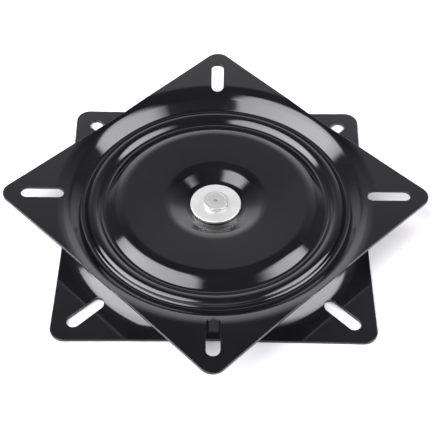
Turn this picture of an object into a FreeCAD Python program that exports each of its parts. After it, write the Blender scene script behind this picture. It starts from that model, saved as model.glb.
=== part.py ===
import FreeCAD, Part
import math
import os

# Seat swivel plate: a two-plate thrust ball bearing for a chair or bar-stool seat.
#
# Two square pressed-steel plates face each other, one turned 45 degrees against the other. Each has a
# round bead pressed into it; the two beads make the raceway of one ring of balls, spaced by a cage. A
# rivet through the dished middle holds the plates together: it is fixed in the bottom plate, and the top
# plate turns round the sleeve that surrounds it.
#
# Frame: millimetres, origin on the axis in the plane that the bottom plate stands on, +Z up along the axis.
# The bottom plate's sides lie along X and Y, and the top plate's corners point along X and Y.

# ---- driving dimensions ----
SIDE = 254.0                # each plate is 10 inches square
SHEET = 2.5                 # sheet thickness
CORNER_R = 11.5             # rounding of the plates' corners, in plan
DRAW_IN = 1.2               # how far the middle of a side is drawn in by the pressing
TOTAL_H = 31.5              # bottom plate's underside to top plate's upper face
MID_Z = TOTAL_H / 2         # plane of the ball centres

# Mounting slots, one on each corner of both plates, running towards the axis.
SLOT_CENTRE_R = 142.5
SLOT_LENGTH = 35.0
SLOT_WIDTH = 10.7

# Ball race.
BALL_COUNT = 24
BALL_R = 5.0
PITCH_R = 101.2
CAGE_WIDTH = 13.2
CAGE_T = 1.8
POCKET_PLAY = 0.2

# Pressed shape, as depths below the flat rim's outer face.
SEAT_DEPTH = 14.25          # flat seat at the bottom of the bowl
BOWL_RIM_DEPTH = 6.8
DISC_EDGE_DEPTH = 5.2
INNER_VALLEY_DEPTH = 12.7
BEAD_DEPTH = 7.75           # crown of the bead that the balls run under
OUTER_VALLEY_DEPTH = 13.4

# Centre stack, on the rivet.
AXIAL_PLAY = 0.1            # between a washer and the plate that turns against it
RADIAL_PLAY = 0.05          # between the sleeve and the top plate's hole
RIVET_R = 6.0
RIVET_HEAD_R = 10.0
RIVET_HEAD_T = 3.8
RIVET_HEAD_CHAMFER = 0.4
DIMPLE_R = 1.5
DIMPLE_DEPTH = 0.6
TAIL_HEAD_R = 10.5
TAIL_HEAD_T = 3.5
SLEEVE_R = 7.6
WASHER_R = 21.0
WASHER_T = 2.0
FRICTION_R = 21.4
FRICTION_T = 0.7
SPACER_R = 18.0
SPACER_T = 1.0

AXIS = FreeCAD.Vector(0, 0, 1)
ORIGIN = FreeCAD.Vector(0, 0, 0)


# ---- profiles of pressed sheet: straight runs joined by tangent arcs, in the (r, z) half-plane ----

def unit(p, q):
    """Direction from p to q."""
    length = math.hypot(q[0] - p[0], q[1] - p[1])
    return ((q[0] - p[0]) / length, (q[1] - p[1]) / length)


def rounded_path(corners):
    """Pieces of the path through corners (r, z, rounding): each is a list of (point, outward normal)."""
    pieces = []
    start = corners[0][:2]
    for before, corner, after in zip(corners, corners[1:], corners[2:]):
        u = unit(before, corner)
        v = unit(corner, after)
        turn = math.atan2(u[0] * v[1] - u[1] * v[0], u[0] * v[0] + u[1] * v[1])
        reach = corner[2] * math.tan(abs(turn) / 2)
        a = (corner[0] - u[0] * reach, corner[1] - u[1] * reach)
        b = (corner[0] + v[0] * reach, corner[1] + v[1] * reach)
        normal_a = (-u[1], u[0])
        normal_b = (-v[1], v[0])
        bisector = unit((0, 0), (normal_a[0] + normal_b[0], normal_a[1] + normal_b[1]))
        side = math.copysign(1.0, turn)
        centre = (a[0] + side * normal_a[0] * corner[2], a[1] + side * normal_a[1] * corner[2])
        middle = (centre[0] - side * bisector[0] * corner[2], centre[1] - side * bisector[1] * corner[2])
        pieces.append([(start, normal_a), (a, normal_a)])
        pieces.append([(a, normal_a), (middle, bisector), (b, normal_b)])
        start = b
    u = unit(start, corners[-1])
    pieces.append([(start, (-u[1], u[0])), (corners[-1][:2], (-u[1], u[0]))])
    return pieces


def offset_point(point, normal, distance):
    """The point moved along its normal, as a vector in the XZ plane."""
    return FreeCAD.Vector(point[0] + normal[0] * distance, 0, point[1] + normal[1] * distance)


def path_edges(pieces, distance):
    """Edges of the path, offset along its normals."""
    edges = []
    for piece in pieces:
        points = [offset_point(point, normal, distance) for point, normal in piece]
        if len(points) == 2:
            edges.append(Part.makeLine(points[0], points[1]))
        else:
            edges.append(Part.Arc(points[0], points[1], points[2]).toShape())
    return edges


def revolved_sheet(corners, thickness):
    """A sheet of this thickness under the path, turned round the axis."""
    pieces = rounded_path(corners)
    upper = path_edges(pieces, 0.0)
    lower = path_edges(pieces, -thickness)
    inner_end = Part.makeLine(upper[0].Vertexes[0].Point, lower[0].Vertexes[0].Point)
    outer_end = Part.makeLine(upper[-1].Vertexes[-1].Point, lower[-1].Vertexes[-1].Point)
    edges = Part.__sortEdges__(upper + [outer_end] + lower + [inner_end])
    return Part.Face(Part.Wire(edges)).revolve(ORIGIN, AXIS, 360)


# ---- plates ----

def square_outline():
    """Plan outline of a plate: rounded corners joined by sides that are drawn in a little, as one wire."""
    tilt = 2 * math.atan(DRAW_IN / (SIDE / 2 - CORNER_R))
    along = SIDE / 2 - CORNER_R * math.cos(tilt)
    corner_centre_r = along * math.sqrt(2)
    half_side = along - CORNER_R * math.sin(tilt)
    middle_r = SIDE / 2 - half_side * math.tan(tilt / 2)
    edges = []
    for quarter in range(4):
        diagonal = math.pi / 4 + quarter * math.pi / 2
        centre = FreeCAD.Vector(math.cos(diagonal), math.sin(diagonal), 0) * corner_centre_r
        half_turn = math.pi / 4 + tilt
        arc = []
        for angle in (diagonal - half_turn, diagonal, diagonal + half_turn):
            arc.append(centre + FreeCAD.Vector(math.cos(angle), math.sin(angle), 0) * CORNER_R)
        edges.append(Part.Arc(arc[0], arc[1], arc[2]).toShape())
        beside = diagonal + math.pi / 4
        middle = FreeCAD.Vector(math.cos(beside), math.sin(beside), 0) * middle_r
        next_start = FreeCAD.Rotation(AXIS, 90).multVec(arc[0])
        edges.append(Part.Arc(arc[2], middle, next_start).toShape())
    return Part.Wire(edges)


def slot_cutters():
    """Four upright stadium-shaped prisms on the diagonals of the square."""
    half = SLOT_LENGTH / 2 - SLOT_WIDTH / 2
    inner = SLOT_CENTRE_R - half
    outer = SLOT_CENTRE_R + half
    w = SLOT_WIDTH / 2
    wire = Part.Wire([
        Part.makeLine(FreeCAD.Vector(inner, -w, 0), FreeCAD.Vector(outer, -w, 0)),
        Part.Arc(FreeCAD.Vector(outer, -w, 0), FreeCAD.Vector(outer + w, 0, 0),
                 FreeCAD.Vector(outer, w, 0)).toShape(),
        Part.makeLine(FreeCAD.Vector(outer, w, 0), FreeCAD.Vector(inner, w, 0)),
        Part.Arc(FreeCAD.Vector(inner, w, 0), FreeCAD.Vector(inner - w, 0, 0),
                 FreeCAD.Vector(inner, -w, 0)).toShape(),
    ])
    prism = Part.Face(wire).extrude(AXIS * TOTAL_H)
    cutters = []
    for quarter in range(4):
        cutter = prism.copy()
        cutter.rotate(ORIGIN, AXIS, 45 + 90 * quarter)
        cutters.append(cutter)
    return cutters


def pressed_plate(seat_depth, hole_r):
    """A plate with its rim's upper face at TOTAL_H, dished downwards, its sides along X and Y."""
    corners = [
        (hole_r, TOTAL_H - seat_depth, 0),
        (23.8, TOTAL_H - seat_depth, 16.0),
        (39.2, TOTAL_H - BOWL_RIM_DEPTH, 21.5),
        (79.8, TOTAL_H - DISC_EDGE_DEPTH, 19.0),
        (92.7, TOTAL_H - INNER_VALLEY_DEPTH, 4.1),
        (98.8, TOTAL_H - BEAD_DEPTH, 8.0),
        (104.6, TOTAL_H - BEAD_DEPTH, 6.0),
        (109.2, TOTAL_H - OUTER_VALLEY_DEPTH, 3.4),
        (124.3, TOTAL_H, 21.0),
        (SIDE / math.sqrt(2), TOTAL_H, 0),
    ]
    dished = revolved_sheet(corners, SHEET)
    blank = Part.Face(square_outline()).extrude(AXIS * TOTAL_H)
    return dished.common(blank).cut(slot_cutters())


def top_plate():
    """The turning plate: dished middle, corners along X and Y."""
    plate = pressed_plate(SEAT_DEPTH, SLEEVE_R + RADIAL_PLAY)
    plate.rotate(ORIGIN, AXIS, 45)
    return plate


def bottom_plate():
    """The fixed plate: the same pressing upside down, with a shallower bowl that carries the rivet."""
    plate = pressed_plate(bottom_seat_z() - SHEET, RIVET_R + RADIAL_PLAY)
    plate = plate.mirror(ORIGIN, AXIS)
    plate.translate(AXIS * TOTAL_H)
    return plate


# ---- centre stack, from the bottom plate's seat upwards ----

def top_seat_z():
    """Upper face of the top plate's seat."""
    return TOTAL_H - SEAT_DEPTH


def bottom_seat_z():
    """Upper face of the bottom plate's seat, under the spacer washer."""
    return top_seat_z() - SHEET - AXIAL_PLAY - SPACER_T


def friction_z():
    """Underside of the friction washer on the top plate's seat."""
    return top_seat_z() + AXIAL_PLAY


def ring(r_in, r_out, z, height):
    """A flat ring on the axis."""
    outer = Part.makeCylinder(r_out, height, FreeCAD.Vector(0, 0, z))
    inner = Part.makeCylinder(r_in, height + 2, FreeCAD.Vector(0, 0, z - 1))
    return outer.cut(inner)


def spacer_washer():
    """Thin washer between the two plates' seats."""
    return ring(SLEEVE_R + RADIAL_PLAY, SPACER_R, bottom_seat_z(), SPACER_T)


def spacer_sleeve():
    """Sleeve round the rivet that the top plate turns on and that sets the plates' distance."""
    base = bottom_seat_z()
    height = friction_z() + FRICTION_T - base
    return ring(RIVET_R + RADIAL_PLAY, SLEEVE_R, base, height)


def friction_washer():
    """Slippery washer between the top plate's seat and the steel washer."""
    return ring(SLEEVE_R + RADIAL_PLAY, FRICTION_R, friction_z(), FRICTION_T)


def rivet_washer():
    """Steel washer under the rivet's closed head, with its upper rim eased."""
    z = friction_z() + FRICTION_T
    washer = ring(RIVET_R + RADIAL_PLAY, WASHER_R, z, WASHER_T)
    rim = [edge for edge in washer.Edges
           if edge.BoundBox.XMax > WASHER_R - 0.1 and edge.BoundBox.ZMin > z + WASHER_T - 0.1]
    return washer.makeFillet(0.5, rim)


def centre_rivet():
    """Solid rivet: flat tail head under the bottom plate, closed head with a centre dimple on top."""
    tail_top = bottom_seat_z() - SHEET
    head_z = friction_z() + FRICTION_T + WASHER_T
    head_top = head_z + RIVET_HEAD_T
    outline = [
        (0, tail_top - TAIL_HEAD_T),
        (TAIL_HEAD_R - 1.0, tail_top - TAIL_HEAD_T),
        (TAIL_HEAD_R, tail_top - TAIL_HEAD_T + 1.0),
        (TAIL_HEAD_R, tail_top),
        (RIVET_R, tail_top),
        (RIVET_R, head_z),
        (RIVET_HEAD_R, head_z),
        (RIVET_HEAD_R, head_top - RIVET_HEAD_CHAMFER),
        (RIVET_HEAD_R - RIVET_HEAD_CHAMFER, head_top),
        (DIMPLE_R, head_top),
        (0, head_top - DIMPLE_DEPTH),
    ]
    points = [FreeCAD.Vector(r, 0, z) for r, z in outline]
    return Part.Face(Part.makePolygon(points + points[:1])).revolve(ORIGIN, AXIS, 360)


# ---- ball race ----

def ball_centre(index):
    """Centre of one ball on the pitch circle."""
    angle = 2 * math.pi * index / BALL_COUNT
    return FreeCAD.Vector(PITCH_R * math.cos(angle), PITCH_R * math.sin(angle), MID_Z)


def ball_cage():
    """Flat ring that keeps the balls apart, with one round pocket for each."""
    cage = ring(PITCH_R - CAGE_WIDTH / 2, PITCH_R + CAGE_WIDTH / 2, MID_Z - CAGE_T / 2, CAGE_T)
    pockets = []
    for index in range(BALL_COUNT):
        base = ball_centre(index) - AXIS * CAGE_T
        pockets.append(Part.makeCylinder(BALL_R + POCKET_PLAY, CAGE_T * 2, base))
    return cage.cut(pockets)


def ball(index):
    """One steel ball."""
    return Part.makeSphere(BALL_R, ball_centre(index))


def main():
    """Build every piece and write one STEP file for each."""
    nodes = {
        "bottom_plate": bottom_plate(),
        "top_plate": top_plate(),
        "spacer_washer": spacer_washer(),
        "spacer_sleeve": spacer_sleeve(),
        "friction_washer": friction_washer(),
        "rivet_washer": rivet_washer(),
        "centre_rivet": centre_rivet(),
        "ball_cage": ball_cage(),
    }
    for index in range(BALL_COUNT):
        nodes[f"ball_{index + 1:02d}"] = ball(index)
    os.makedirs("parts", exist_ok=True)
    for name, shape in nodes.items():
        solids = shape.Solids
        if len(solids) != 1 or not solids[0].isValid():
            raise ValueError(f"{name} should be one valid solid, and is {len(solids)}")
        solids[0].exportStep(f"parts/{name}.step")
        box = solids[0].BoundBox
        print(f"{name}: volume {solids[0].Volume:.1f} mm3, z {box.ZMin:.2f} to {box.ZMax:.2f}")


main()
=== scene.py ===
import math

import bpy
from mathutils import Matrix, Vector
from mathutils.geometry import delaunay_2d_cdt


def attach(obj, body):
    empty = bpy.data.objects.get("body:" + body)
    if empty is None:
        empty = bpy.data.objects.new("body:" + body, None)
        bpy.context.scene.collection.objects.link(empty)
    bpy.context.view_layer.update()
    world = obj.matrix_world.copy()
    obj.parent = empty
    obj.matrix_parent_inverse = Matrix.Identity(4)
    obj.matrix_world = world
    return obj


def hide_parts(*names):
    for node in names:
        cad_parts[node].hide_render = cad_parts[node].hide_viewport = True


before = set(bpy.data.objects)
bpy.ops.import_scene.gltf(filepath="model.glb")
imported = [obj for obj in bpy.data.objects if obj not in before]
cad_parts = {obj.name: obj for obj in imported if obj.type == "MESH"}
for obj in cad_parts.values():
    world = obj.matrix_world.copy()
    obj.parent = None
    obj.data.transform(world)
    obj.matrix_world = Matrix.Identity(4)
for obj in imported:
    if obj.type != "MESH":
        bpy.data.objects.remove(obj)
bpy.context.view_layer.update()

# Seat swivel plate: two glossy black pressed plates on a ring of balls, held by a centre rivet.
# Lengths of the pieces are in millimetres, and MM turns them into metres. Materials, floor and
# camera are in metres.

MM = 0.001

# ---- the plates' pressed shape ----
SIDE = 254.0
SHEET = 2.5
CORNER_R = 11.5
DRAW_IN = 1.2               # how far the middle of a side is drawn in
TOTAL_H = 31.5              # bottom plate's underside to top plate's upper face
SLOT_CENTRE_R = 142.5
SLOT_LENGTH = 35.0
SLOT_WIDTH = 10.7
TOP_HOLE_R = 7.65
BOTTOM_HOLE_R = 6.05
SEAT_DEPTH = 14.25          # top plate's flat seat, at the bottom of its bowl
BOTTOM_SEAT_DEPTH = 11.15   # the same for the bottom plate, which lies upside down
SEAT_R = 23.8
SEAT_ROUNDING = 16.0

# Further corners of the pressed profile, as (radius, depth below the rim's face, rounding).
BOWL_RIM = (39.2, 6.8, 21.5)
DISC_EDGE = (79.8, 5.2, 19.0)
INNER_VALLEY = (92.7, 12.7, 4.1)
BEAD_INSIDE = (98.8, 7.75, 8.0)
BEAD_OUTSIDE = (104.6, 7.75, 6.0)
OUTER_VALLEY = (109.2, 13.4, 3.4)
RIM_START = (124.3, 0.0, 21.0)

# ---- mesh density of the plates ----
AROUND = 288                # points round each pressed ring
ARC_STEP = math.radians(5)  # turn of the sheet between two rings
RUN_STEP = 5.0              # longest straight run between two rings
LAST_RING_R = 123.0         # outside it the sheet is triangulated round the slots
LAST_RING_GAP = 0.4         # rings nearer than this to the last one are left out
EDGE_R = 0.45               # rounding of the sheared edges
EDGE_STEPS = 4
CORNER_STEPS = 20           # points on the arc of a plate's corner
SIDE_STEPS = 72             # points on a drawn-in side
SLOT_END_STEPS = 18         # points on a slot's round end
SLOT_SIDE_STEPS = 12        # points on a slot's straight side
BEND_STEP = 1.3             # spacing of points on the bend up to the flat rim
FLAT_FROM_R = 133.5         # outside it the rim is flat
FLAT_STEP = 7.5             # spacing of points on the flat rim
SAME_POINT = 1e-6           # points nearer than this count as one
TRIANGLES = 0               # what delaunay_2d_cdt gives: triangles over the whole convex hull


# ---------------------------------------------------------------------------------------------
# Pressed sheet profile, in the (r, z) half-plane
# ---------------------------------------------------------------------------------------------

def unit(p, q):
    """Direction from p to q."""
    length = math.hypot(q[0] - p[0], q[1] - p[1])
    return ((q[0] - p[0]) / length, (q[1] - p[1]) / length)


class Profile:
    """Straight runs joined by tangent arcs.

    Each piece is (start, end, start normal, end normal, arc centre, side). A straight run has no centre.
    """

    def __init__(self, corners):
        self.pieces = []
        start = corners[0][:2]
        for before, corner, after in zip(corners, corners[1:], corners[2:]):
            u = unit(before, corner)
            v = unit(corner, after)
            turn = math.atan2(u[0] * v[1] - u[1] * v[0], u[0] * v[0] + u[1] * v[1])
            reach = corner[2] * math.tan(abs(turn) / 2)
            a = (corner[0] - u[0] * reach, corner[1] - u[1] * reach)
            b = (corner[0] + v[0] * reach, corner[1] + v[1] * reach)
            normal_a = (-u[1], u[0])
            normal_b = (-v[1], v[0])
            side = math.copysign(1.0, turn)
            centre = (a[0] + side * normal_a[0] * corner[2], a[1] + side * normal_a[1] * corner[2])
            self.pieces.append((start, a, normal_a, normal_a, None, side))
            self.pieces.append((a, b, normal_a, normal_b, centre, side))
            start = b
        u = unit(start, corners[-1])
        normal = (-u[1], u[0])
        self.pieces.append((start, corners[-1][:2], normal, normal, None, 1.0))

    def at(self, r, drop):
        """(z, normal) at radius r of the surface that lies drop below the path, along its normals."""
        for start, end, normal_a, normal_b, centre, side in self.pieces:
            last = end[0] - normal_b[0] * drop
            if r <= last:
                break
        if centre is None:
            p = (start[0] - normal_a[0] * drop, start[1] - normal_a[1] * drop)
            return p[1] - (r - p[0]) * normal_a[0] / normal_a[1], normal_a
        radius = math.hypot(start[0] - centre[0], start[1] - centre[1]) + side * drop
        rise = math.sqrt(max(radius ** 2 - (r - centre[0]) ** 2, 0.0))
        normal = (side * (centre[0] - r) / radius, rise / radius)
        return centre[1] - side * rise, normal

    def radii(self, drop, limit):
        """Radii of the rings that describe that surface, out to limit."""
        found = [self.pieces[0][0][0]]
        for start, end, normal_a, normal_b, centre, side in self.pieces:
            first = start[0] - normal_a[0] * drop
            last = end[0] - normal_b[0] * drop
            if centre is None:
                steps = max(1, math.ceil((last - first) / RUN_STEP))
                found += [first + (last - first) * k / steps for k in range(1, steps + 1)]
                continue
            tilt_a = math.atan2(normal_a[0], normal_a[1])
            tilt_b = math.atan2(normal_b[0], normal_b[1])
            radius = math.hypot(start[0] - centre[0], start[1] - centre[1]) + side * drop
            steps = max(2, math.ceil(abs(tilt_b - tilt_a) / ARC_STEP))
            for k in range(1, steps + 1):
                tilt = tilt_a + (tilt_b - tilt_a) * k / steps
                found.append(centre[0] - side * radius * math.sin(tilt))
        kept = [r for r in found if r < limit - LAST_RING_GAP]
        return kept + [limit]


def plate_profile(seat_depth, hole_r):
    """Upper face of a plate whose rim lies at TOTAL_H."""
    pressed = [
        (SEAT_R, seat_depth, SEAT_ROUNDING), BOWL_RIM, DISC_EDGE, INNER_VALLEY,
        BEAD_INSIDE, BEAD_OUTSIDE, OUTER_VALLEY, RIM_START]
    corners = [(hole_r, TOTAL_H - seat_depth, 0)]
    corners += [(r, TOTAL_H - depth, rounding) for r, depth, rounding in pressed]
    corners.append((SIDE / math.sqrt(2), TOTAL_H, 0))
    return Profile(corners)


# ---------------------------------------------------------------------------------------------
# Plan outlines, as loops of (point, normal out of the metal)
# ---------------------------------------------------------------------------------------------

def arc_points(centre, radius, start, end, steps, outward=1.0):
    """Points along an arc without its last one, each with its normal."""
    points = []
    for k in range(steps):
        angle = start + (end - start) * k / steps
        normal = Vector((math.cos(angle), math.sin(angle))) * outward
        points.append((centre + Vector((math.cos(angle), math.sin(angle))) * radius, normal))
    return points


def square_loop():
    """Outline of a plate with its sides along X and Y: rounded corners, and sides drawn in a little."""
    tilt = 2 * math.atan(DRAW_IN / (SIDE / 2 - CORNER_R))
    along = SIDE / 2 - CORNER_R * math.cos(tilt)
    half_side = along - CORNER_R * math.sin(tilt)
    side_r = half_side / math.sin(tilt)
    points = []
    for quarter in range(4):
        diagonal = math.pi / 4 + quarter * math.pi / 2
        centre = Vector((math.cos(diagonal), math.sin(diagonal))) * along * math.sqrt(2)
        half_turn = math.pi / 4 + tilt
        points += arc_points(centre, CORNER_R, diagonal - half_turn, diagonal + half_turn, CORNER_STEPS)
        beside = diagonal + math.pi / 4
        far = Vector((math.cos(beside), math.sin(beside))) * (SIDE / 2 + side_r * math.cos(tilt))
        back = beside + math.pi
        points += arc_points(far, side_r, back + tilt, back - tilt, SIDE_STEPS, outward=-1.0)
    return points


def slot_loop(angle):
    """Outline of one slot along the ray at this angle, clockwise so that the metal stays on the left."""
    half = SLOT_LENGTH / 2 - SLOT_WIDTH / 2
    w = SLOT_WIDTH / 2
    points = []
    for end, start in ((1, -math.pi / 2), (-1, math.pi / 2)):
        centre = Vector((SLOT_CENTRE_R + end * half, 0))
        points += arc_points(centre, w, start, start + math.pi, SLOT_END_STEPS, outward=-1.0)
        for k in range(SLOT_SIDE_STEPS):
            along = end * half * (1 - 2 * k / SLOT_SIDE_STEPS)
            points.append((Vector((SLOT_CENTRE_R + along, end * w)), Vector((0, -end))))
    turn = Matrix.Rotation(angle, 2)
    return [(turn @ p, turn @ n) for p, n in reversed(points)]


def inside(point, loop):
    """Whether a plan point lies inside a loop of plan points."""
    found = False
    before = loop[-1]
    for here in loop:
        if (here.y > point.y) != (before.y > point.y):
            x = here.x + (point.y - here.y) * (before.x - here.x) / (before.y - here.y)
            if point.x < x:
                found = not found
        before = here
    return found


def clear_of(point, loops, distance):
    """Whether a plan point is at least this far from every point of the loops."""
    return all((p - point).length_squared >= distance ** 2 for loop in loops for p in loop)


# ---------------------------------------------------------------------------------------------
# Plate meshes
# ---------------------------------------------------------------------------------------------

class Shell:
    """Vertices, exact normals and faces of one closed mesh."""

    def __init__(self):
        self.points = []
        self.normals = []
        self.faces = []

    def add(self, x, y, z, normal):
        """A vertex, and its index."""
        self.points.append((x * MM, y * MM, z * MM))
        self.normals.append(normal)
        return len(self.points) - 1

    def strip(self, first, second):
        """Quads between two closed rows of vertices."""
        count = len(first)
        for k in range(count):
            n = (k + 1) % count
            self.faces.append((first[k], first[n], second[n], second[k]))


def surface_vertex(shell, profile, drop, x, y):
    """A vertex on the upper (drop 0) or lower face of the sheet, above a plan point."""
    r = math.hypot(x, y)
    z, (nr, nz) = profile.at(r, drop)
    sign = 1.0 if drop == 0 else -1.0
    return shell.add(x, y, z, (sign * nr * x / r, sign * nr * y / r, sign * nz))


def pressed_rings(shell, profile, drop, hole_row):
    """The round, pressed middle of one face, outwards from the hole's rim. Returns its last row."""
    rows = [hole_row]
    for r in profile.radii(drop, LAST_RING_R)[1:]:
        row = []
        for k in range(AROUND):
            angle = 2 * math.pi * k / AROUND
            row.append(surface_vertex(shell, profile, drop, r * math.cos(angle), r * math.sin(angle)))
        rows.append(row)
    for inner, outer in zip(rows, rows[1:]):
        if drop == 0:
            shell.strip(outer, inner)
        else:
            shell.strip(inner, outer)
    return rows[-1]


def rim_rows(shell, profile, drop, loop):
    """Rows that round one sheared edge, from the face (first) to the wall (last)."""
    sign = 1.0 if drop == 0 else -1.0
    rows = []
    for k in range(EDGE_STEPS + 1):
        angle = math.pi / 2 * k / EDGE_STEPS
        inset = EDGE_R * (1 - math.sin(angle))
        fall = EDGE_R * (1 - math.cos(angle))
        row = []
        for point, normal in loop:
            p = point - normal * inset
            r = p.length
            z, (nr, nz) = profile.at(r, drop)
            face = Vector((nr * p.x / r, nr * p.y / r, nz)) * sign
            mixed = face * math.cos(angle) + Vector((normal.x, normal.y, 0)) * math.sin(angle)
            row.append(shell.add(p.x, p.y, z - sign * fall, tuple(mixed.normalized())))
        rows.append(row)
    return rows


def fill_outer_face(shell, profile, drop, ring, rows):
    """Triangles between the last pressed ring, the outline (first of the rows) and the slots (the others)."""
    plan = []
    index = []
    edges = []
    loops = []
    for row in [ring] + rows:
        base = len(plan)
        loop = [Vector((shell.points[i][0] / MM, shell.points[i][1] / MM)) for i in row]
        loops.append(loop)
        plan += loop
        index += row
        edges += [(base + k, base + (k + 1) % len(row)) for k in range(len(row))]
    outline = loops[1]
    slots = loops[2:]
    extra = []
    r = LAST_RING_R + BEND_STEP
    while r < FLAT_FROM_R:
        for k in range(AROUND):
            angle = 2 * math.pi * (k + 0.5) / AROUND
            extra.append((Vector((r * math.cos(angle), r * math.sin(angle))), BEND_STEP))
        r += BEND_STEP
    reach = math.ceil(SIDE / 2 / FLAT_STEP)
    for x in range(-reach, reach + 1):
        for y in range(-reach, reach + 1):
            point = Vector((x * FLAT_STEP, y * FLAT_STEP))
            if point.length > FLAT_FROM_R + FLAT_STEP / 2:
                extra.append((point, FLAT_STEP / 2))
    for point, distance in extra:
        in_metal = inside(point, outline) and not any(inside(point, slot) for slot in slots)
        if in_metal and clear_of(point, loops[1:], distance):
            plan.append(point)
            index.append(surface_vertex(shell, profile, drop, point.x, point.y))
    verts, _, faces, origin, _, _ = delaunay_2d_cdt(plan, edges, [], TRIANGLES, SAME_POINT)
    for face in faces:
        middle = sum((verts[v] for v in face), Vector((0, 0))) / len(face)
        in_metal = inside(middle, outline) and not inside(middle, loops[0])
        if in_metal and not any(inside(middle, slot) for slot in slots):
            ids = [index[origin[v][0]] for v in face]
            shell.faces.append(tuple(ids) if drop == 0 else tuple(reversed(ids)))


def hole_loop(radius):
    """Rim of the centre hole, counter-clockwise, so the metal is on its right."""
    return arc_points(Vector((0, 0)), radius, 0, 2 * math.pi, AROUND, outward=-1.0)


def plate_shell(profile, hole_r):
    """The whole plate, its sides along X and Y, with its rim's upper face at TOTAL_H."""
    shell = Shell()
    loops = [square_loop()] + [slot_loop(math.pi / 4 + quarter * math.pi / 2) for quarter in range(4)]
    hole = hole_loop(hole_r)
    walls = []
    hole_walls = []
    for drop in (0.0, SHEET):
        upward = drop == 0
        hole_rows = rim_rows(shell, profile, drop, hole)
        for face_side, wall_side in zip(hole_rows, hole_rows[1:]):
            shell.strip(*((face_side, wall_side) if upward else (wall_side, face_side)))
        hole_walls.append(hole_rows[-1])
        last = pressed_rings(shell, profile, drop, hole_rows[0])
        rows = [rim_rows(shell, profile, drop, loop) for loop in loops]
        for group in rows:
            for face_side, wall_side in zip(group, group[1:]):
                shell.strip(*((wall_side, face_side) if upward else (face_side, wall_side)))
        walls.append([group[-1] for group in rows])
        fill_outer_face(shell, profile, drop, last, [group[0] for group in rows])
    for upper, lower in zip(walls[0], walls[1]):
        shell.strip(lower, upper)
    shell.strip(hole_walls[0], hole_walls[1])
    return shell


def mesh_object(name, shell, where=Matrix.Identity(4)):
    """An object from a shell, with its exact normals, moved by the matrix where."""
    mesh = bpy.data.meshes.new(name)
    mesh.from_pydata(shell.points, [], shell.faces)
    mesh.transform(where)
    if where.determinant() < 0:
        mesh.flip_normals()
    turn = where.to_3x3().inverted().transposed()
    normals = [(turn @ Vector(n)).normalized() for n in shell.normals]
    mesh.update()
    mesh.normals_split_custom_set_from_vertices(normals)
    piece = bpy.data.objects.new(name, mesh)
    bpy.context.scene.collection.objects.link(piece)
    return piece


# ---------------------------------------------------------------------------------------------
# Turned pieces
# ---------------------------------------------------------------------------------------------

TURNED_AROUND = 128         # points round each row
ROUND_STEPS = 5             # rows on a rounded corner, less one


def turned_rows(outline):
    """Rows (r, z, normal) round a counter-clockwise outline of corners (r, z, rounding).

    An outline that meets the axis starts there on the underside and ends there on the upper side.
    """
    rows = []
    count = len(outline)
    for k, corner in enumerate(outline):
        before = outline[k - 1]
        after = outline[(k + 1) % count]
        if corner[0] == 0:
            rows.append((0.0, corner[1], (0.0, 1.0 if before[0] > 0 else -1.0)))
            continue
        u = unit(before, corner)
        v = unit(corner, after)
        turn = math.atan2(u[0] * v[1] - u[1] * v[0], u[0] * v[0] + u[1] * v[1])
        reach = corner[2] * math.tan(abs(turn) / 2)
        side = math.copysign(1.0, turn)
        a = (corner[0] - u[0] * reach, corner[1] - u[1] * reach)
        centre = (a[0] - side * u[1] * corner[2], a[1] + side * u[0] * corner[2])
        for step in range(ROUND_STEPS + 1):
            angle = math.atan2(u[1], u[0]) + turn * step / ROUND_STEPS
            out = (math.sin(angle), -math.cos(angle))
            rows.append((centre[0] + side * out[0] * corner[2], centre[1] + side * out[1] * corner[2], out))
    return rows


def turned_shell(outline, closed):
    """A turned piece from its outline. A closed outline makes a ring, and an open one meets the axis."""
    shell = Shell()
    rows = []
    for r, z, (nr, nz) in turned_rows(outline):
        if r < SAME_POINT:
            rows.append([shell.add(0, 0, z, (0, 0, nz))])
            continue
        row = []
        for k in range(TURNED_AROUND):
            c = math.cos(2 * math.pi * k / TURNED_AROUND)
            d = math.sin(2 * math.pi * k / TURNED_AROUND)
            row.append(shell.add(r * c, r * d, z, (nr * c, nr * d, nz)))
        rows.append(row)
    pairs = list(zip(rows, rows[1:]))
    if closed:
        pairs.append((rows[-1], rows[0]))
    for first, second in pairs:
        if len(first) == 1 or len(second) == 1:
            for k in range(TURNED_AROUND):
                n = (k + 1) % TURNED_AROUND
                if len(first) == 1:
                    shell.faces.append((first[0], second[n], second[k]))
                else:
                    shell.faces.append((first[k], first[n], second[0]))
        else:
            shell.strip(first, second)
    return shell


# ---------------------------------------------------------------------------------------------
# Materials
# ---------------------------------------------------------------------------------------------

def material(name, **values):
    """A new material, its node tree and its shader, with these values set on the shader's own sockets."""
    made = bpy.data.materials.new(name)
    made.use_nodes = True
    shader = made.node_tree.nodes["Principled BSDF"]
    for socket, value in values.items():
        shader.inputs[socket.replace("_", " ")].default_value = value
    return made, made.node_tree, shader


def math_node(tree, operation, first, second=None):
    """Result of a math node. An input is a socket or a number."""
    node = tree.nodes.new("ShaderNodeMath")
    node.operation = operation
    for socket, value in zip(node.inputs, (first, second)):
        if isinstance(value, bpy.types.NodeSocket):
            tree.links.new(value, socket)
        elif value is not None:
            socket.default_value = value
    return node.outputs["Value"]


def spread(tree, value, start, end, low, high, smooth=False):
    """value from start to end, mapped to low to high and held there outside."""
    node = tree.nodes.new("ShaderNodeMapRange")
    node.interpolation_type = "SMOOTHSTEP" if smooth else "LINEAR"
    for socket, number in zip(("From Min", "From Max", "To Min", "To Max"), (start, end, low, high)):
        node.inputs[socket].default_value = number
    tree.links.new(value, node.inputs["Value"])
    return node.outputs["Result"]


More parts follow.
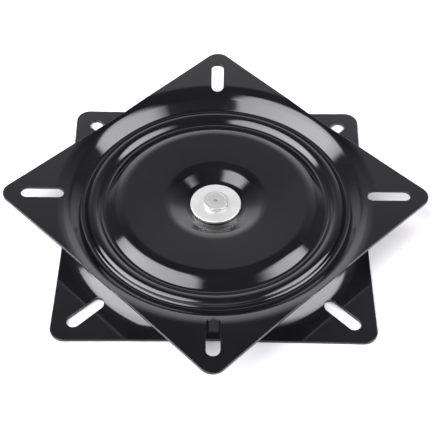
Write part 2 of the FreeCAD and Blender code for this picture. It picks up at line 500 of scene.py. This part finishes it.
def noise(tree, vector, scale, detail=2.0, roughness=0.5):
    """Noise from about 0.3 to 0.7, with scale features to the metre."""
    node = tree.nodes.new("ShaderNodeTexNoise")
    node.inputs["Scale"].default_value = scale
    node.inputs["Detail"].default_value = detail
    node.inputs["Roughness"].default_value = roughness
    tree.links.new(vector, node.inputs["Vector"])
    return node.outputs["Fac"]


def blend_colours(tree, factor, first, second):
    """Colour between first and second."""
    node = tree.nodes.new("ShaderNodeMix")
    node.data_type = "RGBA"
    tree.links.new(factor, node.inputs["Factor"])
    node.inputs["A"].default_value = (*first, 1)
    node.inputs["B"].default_value = (*second, 1)
    return node.outputs["Result"]


def bump(tree, height, distance, normal=None):
    """Surface normal for a height of 0 to 1 that stands for distance metres."""
    node = tree.nodes.new("ShaderNodeBump")
    node.inputs["Distance"].default_value = distance
    tree.links.new(height, node.inputs["Height"])
    if normal is not None:
        tree.links.new(normal, node.inputs["Normal"])
    return node.outputs["Normal"]


def place(tree):
    """Position on the piece, in metres."""
    return tree.nodes.new("ShaderNodeTexCoord").outputs["Object"]


def distance_from_axis(tree, position):
    """Distance from the vertical axis, in metres."""
    parts = tree.nodes.new("ShaderNodeSeparateXYZ")
    tree.links.new(position, parts.inputs["Vector"])
    return math_node(tree, "SQRT", math_node(
        tree, "ADD",
        math_node(tree, "MULTIPLY", parts.outputs["X"], parts.outputs["X"]),
        math_node(tree, "MULTIPLY", parts.outputs["Y"], parts.outputs["Y"])))


# The part of a noise's range that a look uses. Below and above it the look stays the same.
CLOUD_RANGE = (0.35, 0.65)
MARKS_RANGE = (0.38, 0.68)
PLATING_RANGE = (0.36, 0.64)
HAZE_RANGE = (0.38, 0.66)

# Heights of the bumps, in metres.
PEEL_DEPTH = 0.0000035
DUST_DEPTH = 0.0000006
PIT_DEPTH = 0.0000012
SPARK_GRAIN_DEPTH = 0.000012
BALL_HAZE_DEPTH = 0.0000010

RING_SHARE = 0.45           # of the turning marks in the tone of a plated piece
CLOUD_SHARE = 0.55          # of the clouding in it
# Colour of the painted shade at the bottom of a punched centre mark.
MARK_PAINTED_SHADE = (0.25, 0.25, 0.245)
MARK_FULL = 0.75            # share of a centre mark's radius that is fully painted with shade
RIVET_MARK_R = 0.002


def black_enamel(name, dark, light, low_roughness, high_roughness):
    """Stoved black enamel: deep gloss, a slight orange peel, faint handling marks and fine dust."""
    made, tree, shader = material(name, IOR=1.5)
    position = place(tree)
    cloud = noise(tree, position, scale=14, detail=3)
    colour = blend_colours(tree, spread(tree, cloud, *CLOUD_RANGE, 0, 1), dark, light)
    tree.links.new(colour, shader.inputs["Base Color"])
    marks = noise(tree, position, scale=45, detail=5, roughness=0.65)
    tree.links.new(
        spread(tree, marks, *MARKS_RANGE, low_roughness, high_roughness), shader.inputs["Roughness"])
    peel = bump(tree, noise(tree, position, scale=260, detail=1), PEEL_DEPTH)
    dust = bump(tree, noise(tree, position, scale=1500, detail=2), DUST_DEPTH, peel)
    tree.links.new(dust, shader.inputs["Normal"])
    return made


def turned_metal(name, dark, light, low_roughness, high_roughness, groove_depth, rings, mark_r=None):
    """Plated steel with fine turning marks round the axis and a slightly blotchy plating.

    groove_depth is in metres, and rings is how many marks there are to a metre of radius. Within
    mark_r metres of the axis the colour is painted darker, as painted shade at the bottom of a punched
    centre mark.
    """
    made, tree, shader = material(name, Metallic=1.0)
    position = place(tree)
    radius = distance_from_axis(tree, position)
    along = tree.nodes.new("ShaderNodeCombineXYZ")
    tree.links.new(radius, along.inputs["X"])
    marks = noise(tree, along.outputs["Vector"], scale=rings, detail=3, roughness=0.6)
    cloud = noise(tree, position, scale=130, detail=3)
    tone = math_node(
        tree, "ADD", math_node(tree, "MULTIPLY", marks, RING_SHARE),
        math_node(tree, "MULTIPLY", cloud, CLOUD_SHARE))
    colour = blend_colours(tree, spread(tree, tone, *PLATING_RANGE, 0, 1), dark, light)
    if mark_r:
        # Painted shade: the colour darkens inside mark_r and stands in for the shade at the bottom of the
        # centre mark.
        outside_mark = spread(tree, radius, MARK_FULL * mark_r, mark_r, 0, 1)
        shaded_mark = blend_colours(tree, outside_mark, MARK_PAINTED_SHADE, light)
        tree.links.new(colour, shaded_mark.node.inputs["B"])
        colour = shaded_mark
    tree.links.new(colour, shader.inputs["Base Color"])
    tree.links.new(
        spread(tree, tone, *PLATING_RANGE, high_roughness, low_roughness), shader.inputs["Roughness"])
    turned = bump(tree, marks, groove_depth)
    pitted = bump(tree, noise(tree, position, scale=1400, detail=2), PIT_DEPTH, turned)
    tree.links.new(pitted, shader.inputs["Normal"])
    return made


def moulded_plastic(name, dark, light, low_roughness, high_roughness):
    """Moulded plastic with a fine spark-eroded grain."""
    made, tree, shader = material(name, IOR=1.5)
    position = place(tree)
    cloud = noise(tree, position, scale=60, detail=3)
    colour = blend_colours(tree, spread(tree, cloud, *CLOUD_RANGE, 0, 1), dark, light)
    tree.links.new(colour, shader.inputs["Base Color"])
    wear = noise(tree, position, scale=220, detail=3)
    tree.links.new(
        spread(tree, wear, *CLOUD_RANGE, low_roughness, high_roughness), shader.inputs["Roughness"])
    grain = bump(tree, noise(tree, position, scale=2200, detail=2), SPARK_GRAIN_DEPTH)
    tree.links.new(grain, shader.inputs["Normal"])
    return made


def polished_steel(name, dark, light, low_roughness, high_roughness):
    """Bright hardened steel of the balls, with a light haze of grease that dulls and darkens it."""
    made, tree, shader = material(name, Metallic=1.0)
    position = place(tree)
    haze = spread(tree, noise(tree, position, scale=420, detail=3), *HAZE_RANGE, 0, 1)
    tree.links.new(blend_colours(tree, haze, light, dark), shader.inputs["Base Color"])
    tree.links.new(spread(tree, haze, 0, 1, low_roughness, high_roughness), shader.inputs["Roughness"])
    uneven = bump(tree, noise(tree, position, scale=900, detail=2), BALL_HAZE_DEPTH)
    tree.links.new(uneven, shader.inputs["Normal"])
    return made


# Each look is (name, darkest colour, lightest colour, lowest roughness, highest roughness).
TOP_BLACK = black_enamel("top_black", (0.0028, 0.0028, 0.0034), (0.0042, 0.0042, 0.0050), 0.07, 0.13)
# The bottom plate has the top plate's enamel painted lighter. This is painted fill light for the shade under
# the top plate, and it also softens the edge of the top plate's dark reflection in it.
BOTTOM_BLACK_PAINTED_FILL = black_enamel("bottom_black", (0.0045, 0.0045, 0.0052), (0.0064, 0.0064, 0.0073), 0.08, 0.15)
ZINC = turned_metal(
    "zinc_washer", (0.715, 0.725, 0.685), (0.82, 0.83, 0.79), 0.40, 0.50, groove_depth=0.000004, rings=2600)
RIVET = turned_metal(
    "rivet_steel", (0.365, 0.365, 0.352), (0.445, 0.445, 0.428), 0.54, 0.64,
    groove_depth=0.000005, rings=1500, mark_r=RIVET_MARK_R)
SLEEVE = turned_metal(
    "sleeve_steel", (0.42, 0.41, 0.40), (0.56, 0.55, 0.53), 0.22, 0.32, groove_depth=0.000003, rings=2600)
NYLON = moulded_plastic("dark_nylon", (0.010, 0.010, 0.011), (0.018, 0.018, 0.019), 0.38, 0.52)
SLICK_NYLON = moulded_plastic("slick_nylon", (0.008, 0.008, 0.009), (0.014, 0.014, 0.015), 0.16, 0.24)
CAGE = moulded_plastic("cage_plastic", (0.68, 0.67, 0.63), (0.78, 0.77, 0.73), 0.42, 0.56)
BALL = polished_steel("ball_steel", (0.50, 0.49, 0.47), (0.60, 0.60, 0.61), 0.05, 0.16)


# ---------------------------------------------------------------------------------------------
# Pieces
# ---------------------------------------------------------------------------------------------

def finish_piece(piece, made, slot, body, *nodes):
    """Gives the piece its material, and so its material slot, and its body, and hides the CAD nodes that it
    stands for. The argument slot is not used.
    """
    piece.data.materials.append(made)
    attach(piece, body)
    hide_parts(*nodes)


def dress(node, made):
    """Gives a carried-over CAD node its own material."""
    node.data.materials.clear()
    node.data.materials.append(made)


top_plate = mesh_object(
    "pressed_top_plate", plate_shell(plate_profile(SEAT_DEPTH, TOP_HOLE_R), TOP_HOLE_R),
    Matrix.Rotation(math.pi / 4, 4, "Z"))
finish_piece(top_plate, TOP_BLACK, "top_black", "turning_plate", "top_plate")

# Its enamel is painted lighter than the top plate's, as painted fill light in the shade under the top plate.
bottom_plate = mesh_object(
    "pressed_bottom_plate", plate_shell(plate_profile(BOTTOM_SEAT_DEPTH, BOTTOM_HOLE_R), BOTTOM_HOLE_R),
    Matrix.Translation((0, 0, TOTAL_H * MM)) @ Matrix.Scale(-1, 4, (0, 0, 1)))
finish_piece(bottom_plate, BOTTOM_BLACK_PAINTED_FILL, "bottom_black", "base", "bottom_plate")

# Outlines of the turned pieces are corners (radius, height, rounding).
WASHER_R = 21.0
WASHER_BORE_R = 6.05
WASHER_TOP = 20.05
WASHER_BOTTOM = 18.05
washer = mesh_object("plated_washer", turned_shell([
    (WASHER_BORE_R, WASHER_BOTTOM, 0.2), (WASHER_R, WASHER_BOTTOM, 0.25),
    (WASHER_R, WASHER_TOP, 0.5), (WASHER_BORE_R, WASHER_TOP, 0.2)], True))
finish_piece(washer, ZINC, "zinc_washer", "base", "rivet_washer")

SHANK_R = 6.0
HEAD_R = 10.0
HEAD_TOP = 23.85
RING_OUTSIDE_R = 8.1        # faint turned ring on the head's face
RING_INSIDE_R = 6.7
RING_FLOOR_OUTSIDE_R = 7.7
RING_FLOOR_INSIDE_R = 7.1
RING_DEPTH = 0.12
DIMPLE_MOUTH_R = 1.8        # punched centre mark
DIMPLE_R = 1.5
DIMPLE_DEPTH = 0.6
TAIL_R = 10.5
TAIL_BOTTOM = 7.65
TAIL_TOP = 11.15
TAIL_BEVEL_IN = 0.6
TAIL_BEVEL_UP = 1.2
rivet = mesh_object("staked_rivet", turned_shell([
    (0, TAIL_BOTTOM, 0), (TAIL_R - TAIL_BEVEL_IN, TAIL_BOTTOM, 0.8),
    (TAIL_R, TAIL_BOTTOM + TAIL_BEVEL_UP, 0.9), (TAIL_R, TAIL_TOP, 0.25),
    (SHANK_R, TAIL_TOP, 0.1), (SHANK_R, WASHER_TOP, 0.1),
    (HEAD_R, WASHER_TOP, 0.3), (HEAD_R, HEAD_TOP, 0.45),
    (RING_OUTSIDE_R, HEAD_TOP, 0.5), (RING_FLOOR_OUTSIDE_R, HEAD_TOP - RING_DEPTH, 0.3),
    (RING_FLOOR_INSIDE_R, HEAD_TOP - RING_DEPTH, 0.3), (RING_INSIDE_R, HEAD_TOP, 0.5),
    (DIMPLE_MOUTH_R, HEAD_TOP, 0.15), (DIMPLE_R, HEAD_TOP - DIMPLE_DEPTH, 0.1),
    (0, HEAD_TOP - DIMPLE_DEPTH, 0)], False))
finish_piece(rivet, RIVET, "rivet_steel", "base", "centre_rivet")

FRICTION_R = 21.4
FRICTION_BORE_R = 7.65
FRICTION_BOTTOM = 17.35
friction = mesh_object("friction_ring", turned_shell([
    (FRICTION_BORE_R, FRICTION_BOTTOM, 0.1), (FRICTION_R, FRICTION_BOTTOM, 0.3),
    (FRICTION_R, WASHER_BOTTOM, 0.3), (FRICTION_BORE_R, WASHER_BOTTOM, 0.1)], True))
finish_piece(friction, SLICK_NYLON, "dark_nylon", "base", "friction_washer")

for node, made in (("spacer_sleeve", SLEEVE), ("spacer_washer", NYLON), ("ball_cage", CAGE)):
    dress(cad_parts[node], made)
for name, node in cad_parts.items():
    if name.startswith("ball_") and name != "ball_cage":
        dress(node, BALL)


# ---------------------------------------------------------------------------------------------
# Floor, light and camera
# ---------------------------------------------------------------------------------------------

FLOOR_HALF = 6.0
FLOOR_Z = -0.0001           # just below the base, so that the two faces don't coincide
FLOOR_DARK = (0.62, 0.62, 0.62)
FLOOR_LIGHT = (0.63, 0.63, 0.63)
floor_mesh = bpy.data.meshes.new("floor")
floor_mesh.from_pydata(
    [(x * FLOOR_HALF, y * FLOOR_HALF, FLOOR_Z) for x, y in ((-1, -1), (1, -1), (1, 1), (-1, 1))],
    [], [(0, 1, 2, 3)])
floor = bpy.data.objects.new("floor", floor_mesh)
bpy.context.scene.collection.objects.link(floor)
floor_made, floor_tree, floor_shader = material("paper_floor", Roughness=1.0)
floor_shader.inputs["Specular IOR Level"].default_value = 0.0
floor_cloud = noise(floor_tree, place(floor_tree), scale=3, detail=2)
floor_colour = blend_colours(floor_tree, floor_cloud, FLOOR_DARK, FLOOR_LIGHT)
floor_tree.links.new(floor_colour, floor_shader.inputs["Base Color"])
floor_mesh.materials.append(floor_made)

# The light is a studio room: two large soft boxes overhead with a dark gap between them, a pale
# backdrop in front and behind that fades upwards and to the sides, two soft pools of light low
# behind, and a pale band round the horizon, brighter in front.
# A direction (x, y, z) meets a ceiling 1 unit up at (x / z, y / z).
LOWEST_UP = 0.02            # directions below it meet the ceiling as if they pointed this far up
POOL_AIM = (0.352, 0.871, 0.342)
ROOM_TINT = (1.0, 0.985, 1.04)
world = bpy.data.worlds.new("studio")
bpy.context.scene.world = world
world.use_nodes = True
sky = world.node_tree
background = sky.nodes["Background"]
heading = sky.nodes.new("ShaderNodeTexCoord").outputs["Generated"]
direction = sky.nodes.new("ShaderNodeSeparateXYZ")
sky.links.new(heading, direction.inputs["Vector"])
up = direction.outputs["Z"]
height = math_node(sky, "MAXIMUM", up, LOWEST_UP)
across = math_node(sky, "DIVIDE", direction.outputs["X"], height)
away = math_node(sky, "DIVIDE", direction.outputs["Y"], height)
sideways = math_node(sky, "ABSOLUTE", direction.outputs["X"])


def soft_box(edges, outward, near_level, far_level):
    """A six-sided soft box, brighter outwards and dimmer towards its back edge.

    Each edge is (across factor, away factor, constant, fade): the box begins where the sum is positive,
    and reaches its full brightness where the sum is fade.
    """
    shape = None
    for across_factor, away_factor, constant, fade in edges:
        line = math_node(
            sky, "ADD",
            math_node(sky, "ADD", math_node(sky, "MULTIPLY", across, across_factor),
                      math_node(sky, "MULTIPLY", away, away_factor)), constant)
        step = spread(sky, line, 0, fade, 0, 1, True)
        shape = step if shape is None else math_node(sky, "MULTIPLY", shape, step)
    from_middle = math_node(sky, "MULTIPLY", across, outward)
    level = math_node(
        sky, "MULTIPLY", spread(sky, from_middle, start=0.2, end=1.0, low=near_level, high=far_level),
        spread(sky, away, start=0.10, end=0.42, low=1.0, high=0.6))
    return math_node(sky, "MULTIPLY", shape, level)


left_box = soft_box([
    (-1.0, 0.0, -0.11, 0.12),     # inner edge, along the dark gap
    (-0.55, -1.0, -0.08, 0.12),   # inner back corner, cut off
    (0.0, -1.0, 0.50, 0.10),      # back edge
    (0.0, 1.0, 0.98, 0.06),       # front edge
    (-1.1, 1.0, 0.49, 0.08),      # inner front corner, cut off
    (1.0, 0.0, 3.0, 0.3),         # outer edge
], outward=-1.0, near_level=7.5, far_level=11.3)
right_box = soft_box([
    (1.0, 0.2, -0.36, 0.32),      # the same six edges, in the same order
    (1.04, -1.0, -0.40, 0.10),
    (0.10, -1.0, 0.20, 0.12),
    (0.0, 1.0, 0.96, 0.06),
    (1.08, 1.0, 0.04, 0.08),
    (-1.0, 0.0, 2.8, 0.3),
], outward=1.0, near_level=6.0, far_level=9.6)
backdrop = math_node(
    sky, "MULTIPLY", spread(sky, up, start=0.50, end=0.82, low=1.70, high=0.10),
    spread(sky, sideways, start=0.15, end=0.70, low=1.0, high=0.12))
horizon = math_node(
    sky, "MULTIPLY", spread(sky, up, start=0.12, end=0.40, low=1.0, high=0.0, smooth=True),
    spread(sky, direction.outputs["Y"], start=-0.4, end=0.2, low=2.0, high=1.0, smooth=True))
pools = None
for side in (-1, 1):
    aim = sky.nodes.new("ShaderNodeVectorMath")
    aim.operation = "DOT_PRODUCT"
    sky.links.new(heading, aim.inputs[0])
    aim.inputs[1].default_value = (side * POOL_AIM[0], POOL_AIM[1], POOL_AIM[2])
    pool = spread(sky, aim.outputs["Value"], start=0.955, end=0.995, low=0.0, high=0.75, smooth=True)
    pools = pool if pools is None else math_node(sky, "ADD", pools, pool)
room = math_node(
    sky, "ADD", math_node(sky, "MAXIMUM", backdrop, horizon),
    math_node(sky, "ADD", pools, math_node(sky, "ADD", left_box, right_box)))
sky.links.new(room, background.inputs["Strength"])
background.inputs["Color"].default_value = (*ROOM_TINT, 1)

# The camera stands where the photograph's perspective puts it.
CAMERA_AT = (0.00713, -0.62872, 0.72130)
CAMERA_DOWN = 49.175        # degrees below the horizontal
CAMERA_ROLL = 0.603         # degrees
CAMERA_SENSOR = 36.0        # millimetres, as is the lens
CAMERA_LENS = 91.27
camera_data = bpy.data.cameras.new("camera")
camera_data.sensor_width = CAMERA_SENSOR
camera_data.lens = CAMERA_LENS
camera = bpy.data.objects.new("camera", camera_data)
bpy.context.scene.collection.objects.link(camera)
camera.matrix_world = (
    Matrix.Translation(CAMERA_AT)
    @ Matrix.Rotation(math.radians(90 - CAMERA_DOWN), 4, "X")
    @ Matrix.Rotation(math.radians(CAMERA_ROLL), 4, "Z"))
bpy.context.scene.camera = camera
bpy.context.scene.view_settings.view_transform = "Standard"
